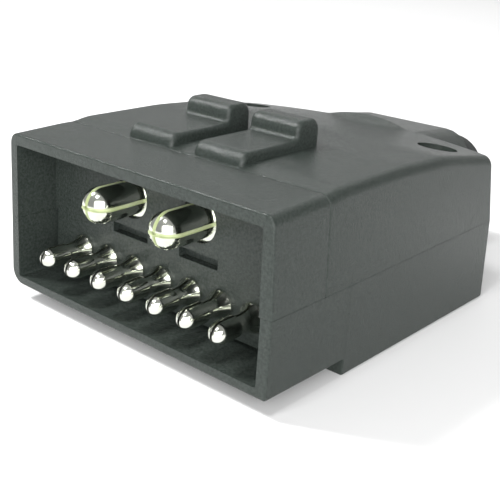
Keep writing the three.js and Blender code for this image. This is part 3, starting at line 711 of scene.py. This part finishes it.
def contact_pin(pin):
    """A pin about its own axis, split from the tip, bored for the wire and flattened for a screw."""
    turned = revolve(pin_profile(pin), pin.segments)
    slot = (-pin.slot_width / 2, pin.slot_width / 2)
    slot_y = (pin.tip_y - OVERRUN, pin.slot_end_y)
    across = (-pin.flare_radius - OVERRUN, pin.flare_radius + OVERRUN)
    slots = [block(slot, slot_y, across)]
    if pin.cross_slot:
        slots.append(block(across, slot_y, slot))
    pad = block(
        across, (pin.screw_y - pin.barrel_radius, pin.end_y + OVERRUN),
        (pin.pad_height, pin.barrel_radius + OVERRUN),
    )
    screw_hole = rod_z(
        terminal_screw_of(pin).shank_radius + GAP, 0, pin.screw_y, (0, pin.barrel_radius + OVERRUN), 24,
    )
    split = cut(turned, *slots, pad, screw_hole)
    whole = join(split, slot_core(pin)) if pin.slot_depth else split
    return soften(whole, 0.05, segments=1, angle=50)


def show_brass_in_slots(solid, pin):
    """Gives the walls of the slots the second material, where the plating is thin."""
    for polygon in solid.data.polygons:
        x, y, z = polygon.center
        inside_x = abs(x) < pin.slot_width * 0.52
        inside_z = pin.cross_slot and abs(z) < pin.slot_width * 0.52
        if y < pin.slot_end_y + GAP / 2 and (inside_x or inside_z):
            polygon.material_index = 1


def retainer(places, half_x, z, open_z):
    """A comb plate that drops into the pins' grooves; its slots open towards open_z."""
    plate = block((-half_x, half_x), (RETAINER.start_y, RETAINER.end_y), z)
    through = (RETAINER.start_y - OVERRUN, RETAINER.end_y + OVERRUN)
    slots = []
    for pin, x in places:
        radius = pin.groove_radius + GAP
        slots.append(block((x - radius, x + radius), through, sorted((pin.z, open_z))))
        slots.append(rod_y(radius, x, through, pin.z))
    return soften(cut(plate, *slots), 0.15)


def small_pin_retainer():
    bottom_z = BODY.mouth_base_z + BODY.mouth_floor + GAP
    places = [(pin, x) for pin, _, x in PIN_PLACES if pin is SMALL_PIN]
    heights = (bottom_z, RETAINER.small_top_z)
    return retainer(places, RETAINER.small_half_x, heights, bottom_z - OVERRUN)


def large_pin_retainer():
    top = BODY.top_z - CARRIER.top_inset
    places = [(pin, x) for pin, _, x in PIN_PLACES if pin is LARGE_PIN]
    bottom_z = LARGE_PIN.z - LARGE_PIN.barrel_radius - 2 * GAP
    return retainer(places, RETAINER.large_half_x, (bottom_z, top), top + OVERRUN)


# ---------------------------------------------------------------- screws, clamp and boot


def terminal_screw_of(pin):
    return SMALL_TERMINAL_SCREW if pin is SMALL_PIN else LARGE_TERMINAL_SCREW


def screw(size, shank_length):
    """A slotted cheese-head screw along z with a cut thread, with z = 0 under its head."""
    depth = size.pitch * 0.45
    segments = 32
    steps_per_turn = 8
    steps = round(shank_length / size.pitch * steps_per_turn)
    chamfer = size.shank_radius / 3

    def ring(z, radius_at):
        ring_points = []
        for i in range(segments):
            share = i / segments
            radius = radius_at(share)
            angle = -2 * math.pi * share
            ring_points.append(Vector((radius * math.cos(angle), radius * math.sin(angle), z)))
        return ring_points

    def thread_radius(z, share):
        phase = (z / size.pitch + share) % 1
        crest = 1 - abs(2 * phase - 1)
        point = chamfer * max(0.0, 1 - (z + shank_length) / chamfer)
        return size.shank_radius - point - depth * (1 - crest)

    rings = []
    for step in range(steps + 1):
        z = -shank_length * (1 - step / steps)
        rings.append(ring(z, lambda share, z=z: thread_radius(z, share)))
    rounding = size.head_height * 0.3
    rings.append(ring(0, lambda share: size.shank_radius))
    rings.append(ring(0, lambda share: size.head_radius))
    for angle in quarter_turn():
        z = size.head_height - rounding * (1 - math.sin(angle))
        radius = size.head_radius - rounding * (1 - math.cos(angle))
        rings.append(ring(z, lambda share, radius=radius: radius))
    slot_width = SCREW_SLOT.width * size.shank_radius
    slot = block(
        (-size.head_radius - OVERRUN, size.head_radius + OVERRUN), (-slot_width / 2, slot_width / 2),
        (size.head_height * (1 - SCREW_SLOT.depth_share), size.head_height + OVERRUN),
    )
    return cut(loft(rings), slot)


def clamp_saddle():
    middle_y = (CLAMP.start_y + CLAMP.end_y) / 2
    saddle = block(
        (-CLAMP.half_x, CLAMP.half_x), (CLAMP.start_y, CLAMP.end_y),
        (CLAMP.saddle_bottom_z, CLAMP.saddle_top_z),
    )
    cable_path = rod_y(CABLE.radius, 0, (CLAMP.start_y - OVERRUN, CLAMP.end_y + OVERRUN), CABLE.z)
    holes = both_sides(lambda side: rod_z(
        CLAMP_SCREW.shank_radius + GAP, side * CLAMP.screw_x, middle_y,
        (CLAMP.saddle_bottom_z - OVERRUN, CLAMP.saddle_top_z + OVERRUN),
    ))
    return soften(cut(saddle, cable_path, *holes), 0.4, segments=3)


def boot_tube():
    """The tube that grips the cable, with shallow folds along its length."""
    profile = [(0, BOOT.lip_end_y - OVERRUN), (BOOT.tube_radius, BOOT.lip_end_y - OVERRUN)]
    steps = 16 * BOOT.folds
    for i in range(steps + 1):
        share = i / steps
        fold = BOOT.fold_depth * (1 - math.cos(2 * math.pi * BOOT.folds * share)) / 2
        profile.append((
            lerp(BOOT.tube_radius, BOOT.tube_end_radius, share) - fold,
            lerp(BOOT.lip_end_y, BOOT.tube_end_y, share),
        ))
    profile.append((0, BOOT.tube_end_y))
    return moved(revolve(profile, 64), 0, 0, CABLE.z)


def rubber_boot():
    core = rounded_bar(
        BOOT.core_half, BOOT.core_half_height, BOOT.corner, (BOOT.flange_start_y, BOOT.lip_end_y - 1),
    )
    flange = rounded_bar(
        BOOT.flange_half, BOOT.flange_half_height, BOOT.corner,
        (BOOT.flange_start_y, BOOT.flange_end_y), edge=0.4,
    )
    lip = rounded_bar(
        BOOT.lip_half, BOOT.lip_half_height, BOOT.lip_corner, (BOOT.lip_start_y, BOOT.lip_end_y),
        edge=0.7,
    )
    bore_y = (BOOT.flange_start_y - OVERRUN, BOOT.tube_end_y + OVERRUN)
    bore = rod_y(CABLE.radius + GAP, 0, bore_y, CABLE.z, 64)
    return soften(cut(join(core, flange, lip, boot_tube()), bore), 0.25)


# ---------------------------------------------------------------- materials

# The part of a noise texture's range that its colours and roughness are spread over.
NOISE_LOW = 0.3
NOISE_HIGH = 0.7


def new_material(name):
    material = bpy.data.materials.new(name)
    material.use_nodes = True
    nodes, links = material.node_tree.nodes, material.node_tree.links
    shader = nodes["Principled BSDF"]
    place = nodes.new("ShaderNodeTexCoord")

    def noise(scale, detail=2.0, roughness=0.5):
        texture = nodes.new("ShaderNodeTexNoise")
        texture.inputs["Scale"].default_value = scale
        texture.inputs["Detail"].default_value = detail
        texture.inputs["Roughness"].default_value = roughness
        links.new(place.outputs["Object"], texture.inputs["Vector"])
        return texture.outputs["Fac"]

    def spread(value, output_low, output_high):
        ramp = nodes.new("ShaderNodeMapRange")
        ramp.inputs["From Min"].default_value = NOISE_LOW
        ramp.inputs["From Max"].default_value = NOISE_HIGH
        ramp.inputs["To Min"].default_value = output_low
        ramp.inputs["To Max"].default_value = output_high
        links.new(value, ramp.inputs["Value"])
        return ramp.outputs["Result"]

    def blend_colours(value, dark, pale):
        ramp = nodes.new("ShaderNodeValToRGB")
        ramp.color_ramp.elements[0].position = NOISE_LOW
        ramp.color_ramp.elements[1].position = NOISE_HIGH
        ramp.color_ramp.elements[0].color = (*dark, 1)
        ramp.color_ramp.elements[1].color = (*pale, 1)
        links.new(value, ramp.inputs["Fac"])
        links.new(ramp.outputs["Color"], shader.inputs["Base Color"])

    def bump(height, strength, distance, under=None):
        node = nodes.new("ShaderNodeBump")
        node.inputs["Strength"].default_value = strength
        node.inputs["Distance"].default_value = distance
        links.new(height, node.inputs["Height"])
        if under is not None:
            links.new(under, node.inputs["Normal"])
        links.new(node.outputs["Normal"], shader.inputs["Normal"])
        return node.outputs["Normal"]

    def drive(socket, value):
        links.new(value, shader.inputs[socket])

    tools = Sizes(
        noise=noise, spread=spread, blend_colours=blend_colours, bump=bump, drive=drive,
    )
    return material, shader, tools


def moulded_plastic(name, dark, pale, grain=4200.0, grain_depth=0.0001, roughness=(0.16, 0.26)):
    """Spark-eroded mould grain: fine hills that sparkle, with slightly uneven gloss and colour."""
    material, shader, tools = new_material(name)
    shader.inputs["Specular IOR Level"].default_value = 0.22
    tools.blend_colours(tools.noise(2600.0, 2.0, 0.6), dark, pale)
    tools.drive("Roughness", tools.spread(tools.noise(1500.0, 2.0), *roughness))
    waves = tools.bump(tools.noise(260.0, 1.0), 0.06, 0.0001)
    tools.bump(tools.noise(grain, 3.0, 0.65), 0.8, grain_depth, waves)
    return material


def plated_metal(name, dark, pale, roughness, scratch, metallic=1.0):
    """Electroplated metal: faintly uneven colour and gloss, with a trace of scratches."""
    material, shader, tools = new_material(name)
    shader.inputs["Metallic"].default_value = metallic
    tools.blend_colours(tools.noise(500.0, 3.0), dark, pale)
    tools.drive("Roughness", tools.spread(tools.noise(1500.0, 3.0), *roughness))
    tools.bump(tools.noise(2400.0, 2.0), scratch, 0.00002)
    return material


def soft_rubber(name, dark, pale):
    """Matt rubber with a fine tooth."""
    material, shader, tools = new_material(name)
    shader.inputs["Specular IOR Level"].default_value = 0.35
    tools.blend_colours(tools.noise(220.0, 4.0), dark, pale)
    tools.drive("Roughness", tools.spread(tools.noise(700.0, 2.0), 0.68, 0.85))
    tools.bump(tools.noise(4200.0, 2.0), 0.3, 0.00003)
    return material


CHARCOAL = ((0.018, 0.023, 0.020), (0.034, 0.041, 0.037))
MATERIALS = Sizes(
    shell=moulded_plastic("charcoal_shell", *CHARCOAL),
    carrier=moulded_plastic("charcoal_pin_block", *CHARCOAL),
    retainer=moulded_plastic(
        "grey_retainer", (0.060, 0.064, 0.062), (0.076, 0.080, 0.077), grain=2000.0,
    ),
    rubber=soft_rubber("black_rubber", (0.020, 0.021, 0.021), (0.030, 0.032, 0.031)),
    nickel=plated_metal(
        "nickel_plate", (0.62, 0.64, 0.57), (0.72, 0.74, 0.67), roughness=(0.12, 0.16), scratch=0.004,
    ),
    brass=plated_metal(
        "worn_brass", (0.46, 0.51, 0.30), (0.56, 0.61, 0.40), roughness=(0.42, 0.55), scratch=0.15,
        metallic=0.3,
    ),
    zinc=plated_metal(
        "zinc_plate", (0.50, 0.50, 0.48), (0.62, 0.62, 0.60), roughness=(0.28, 0.42), scratch=0.15,
    ),
)

# ---------------------------------------------------------------- pieces


def add_pins():
    shapes = {pin.name: contact_pin(pin) for pin in (SMALL_PIN, LARGE_PIN)}
    show_brass_in_slots(shapes[LARGE_PIN.name], LARGE_PIN)
    for pin, label, x in PIN_PLACES:
        copy = shapes[pin.name].copy()
        copy.data = shapes[pin.name].data.copy()
        bpy.context.scene.collection.objects.link(copy)
        finished(
            moved(copy, x, 0, pin.z), f"{pin.name}_contact_{label}", "housing",
            [f"{pin.name}_pin_{label}"], [MATERIALS.nickel, MATERIALS.brass],
        )
    for shape in shapes.values():
        bpy.data.objects.remove(shape)


def add_screw(size, shank_length, node, x, y, z):
    finished(
        moved(screw(size, shank_length), x, y, z), f"{node}_threaded", node, [node],
        [MATERIALS.zinc],
    )


def add_screws():
    for pin, label, x in PIN_PLACES:
        size = terminal_screw_of(pin)
        node = f"{pin.name}_terminal_screw_{label}"
        under_head = pin.z + pin.pad_height + GAP
        shank_length = under_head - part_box(node)[0].z / MM
        add_screw(size, shank_length, node, x, pin.screw_y, under_head)
    for label, side in (("left", -1), ("right", 1)):
        under_head = COVER_SCREW.seat_z + GAP
        add_screw(
            COVER_SCREW, under_head - COVER_SCREW.tip_z, f"cover_screw_{label}",
            side * COVER_SCREW.x, COVER_SCREW.y, under_head,
        )
        under_head = CLAMP.saddle_top_z + GAP
        add_screw(
            CLAMP_SCREW, under_head - CLAMP.screw_tip_z, f"clamp_screw_{label}",
            side * CLAMP.screw_x, (CLAMP.start_y + CLAMP.end_y) / 2, under_head,
        )


def add_pieces():
    shell, carrier, plate = [MATERIALS.shell], [MATERIALS.carrier], [MATERIALS.retainer]
    finished(housing_shell(), "housing_shell", "housing", ["lower_housing"], shell)
    finished(cover_shell(), "cover_shell", "cover", ["top_cover"], shell)
    finished(pin_block(), "pin_block", "housing", ["pin_carrier"], carrier)
    for size, make in (("small", small_pin_retainer), ("large", large_pin_retainer)):
        node = f"{size}_pin_retainer"
        finished(make(), f"{node}_comb", "housing", [node], plate)
    finished(clamp_saddle(), "clamp_saddle", "cable_clamp", ["cable_clamp"], plate)
    finished(rubber_boot(), "rubber_boot", "housing", ["cable_boot"], [MATERIALS.rubber])
    add_pins()
    add_screws()


add_pieces()

# ---------------------------------------------------------------- floor and light

FLOOR = Sizes(half=2.4, depth=1.6, rise=1.2, curve=0.48, curve_steps=16, tone=0.74, roughness=0.9)


def add_floor():
    """A pale sheet that curves up behind the plug, in metres."""
    outline = [(-FLOOR.half, 0.0)]
    for angle in quarter_turn(FLOOR.curve_steps):
        y = FLOOR.depth - FLOOR.curve * (1 - math.sin(angle))
        outline.append((y, FLOOR.curve * (1 - math.cos(angle))))
    outline.append((FLOOR.depth, FLOOR.rise))
    points = [Vector((x, y, z)) for y, z in outline for x in (-FLOOR.half, FLOOR.half)]
    faces = [(2 * i, 2 * i + 1, 2 * i + 3, 2 * i + 2) for i in range(len(outline) - 1)]
    floor = new_solid(points, faces)
    floor.name = "floor"
    material, shader, _ = new_material("pale_floor")
    shader.inputs["Base Color"].default_value = (FLOOR.tone, FLOOR.tone, FLOOR.tone, 1)
    shader.inputs["Roughness"].default_value = FLOOR.roughness
    floor.data.materials.append(material)


def add_softbox(name, place, target, size, power):
    """A rectangular light, placed in metres, that faces its target."""
    data = bpy.data.lights.new(name, "AREA")
    data.shape = "RECTANGLE"
    data.size, data.size_y = size
    data.energy = power
    light = bpy.data.objects.new(name, data)
    bpy.context.scene.collection.objects.link(light)
    light.location = place
    light.rotation_euler = (Vector(target) - Vector(place)).to_track_quat("-Z", "Y").to_euler()


def add_world(strength):
    world = bpy.data.worlds.new("studio")
    world.use_nodes = True
    background = world.node_tree.nodes["Background"]
    background.inputs["Color"].default_value = (1, 1, 1, 1)
    background.inputs["Strength"].default_value = strength
    bpy.context.scene.world = world


add_floor()
add_world(strength=0.4)
add_softbox("key", (-0.31, -0.18, 0.445), (0, 0, 0.02), (0.08, 0.08), 3.4)
add_softbox("edge", (0.02, -0.24, 0.45), (0, 0, 0.02), (0.08, 0.08), 0.9)
add_softbox("front", (0.40, -0.50, 0.22), (0, -0.03, 0.015), (0.7, 0.5), 8.0)
add_softbox("backdrop", (-0.45, 0.55, 0.5), (-0.45, 0.6, 0), (0.9, 0.5), 2.6)
bpy.context.scene.view_settings.view_transform = "Standard"
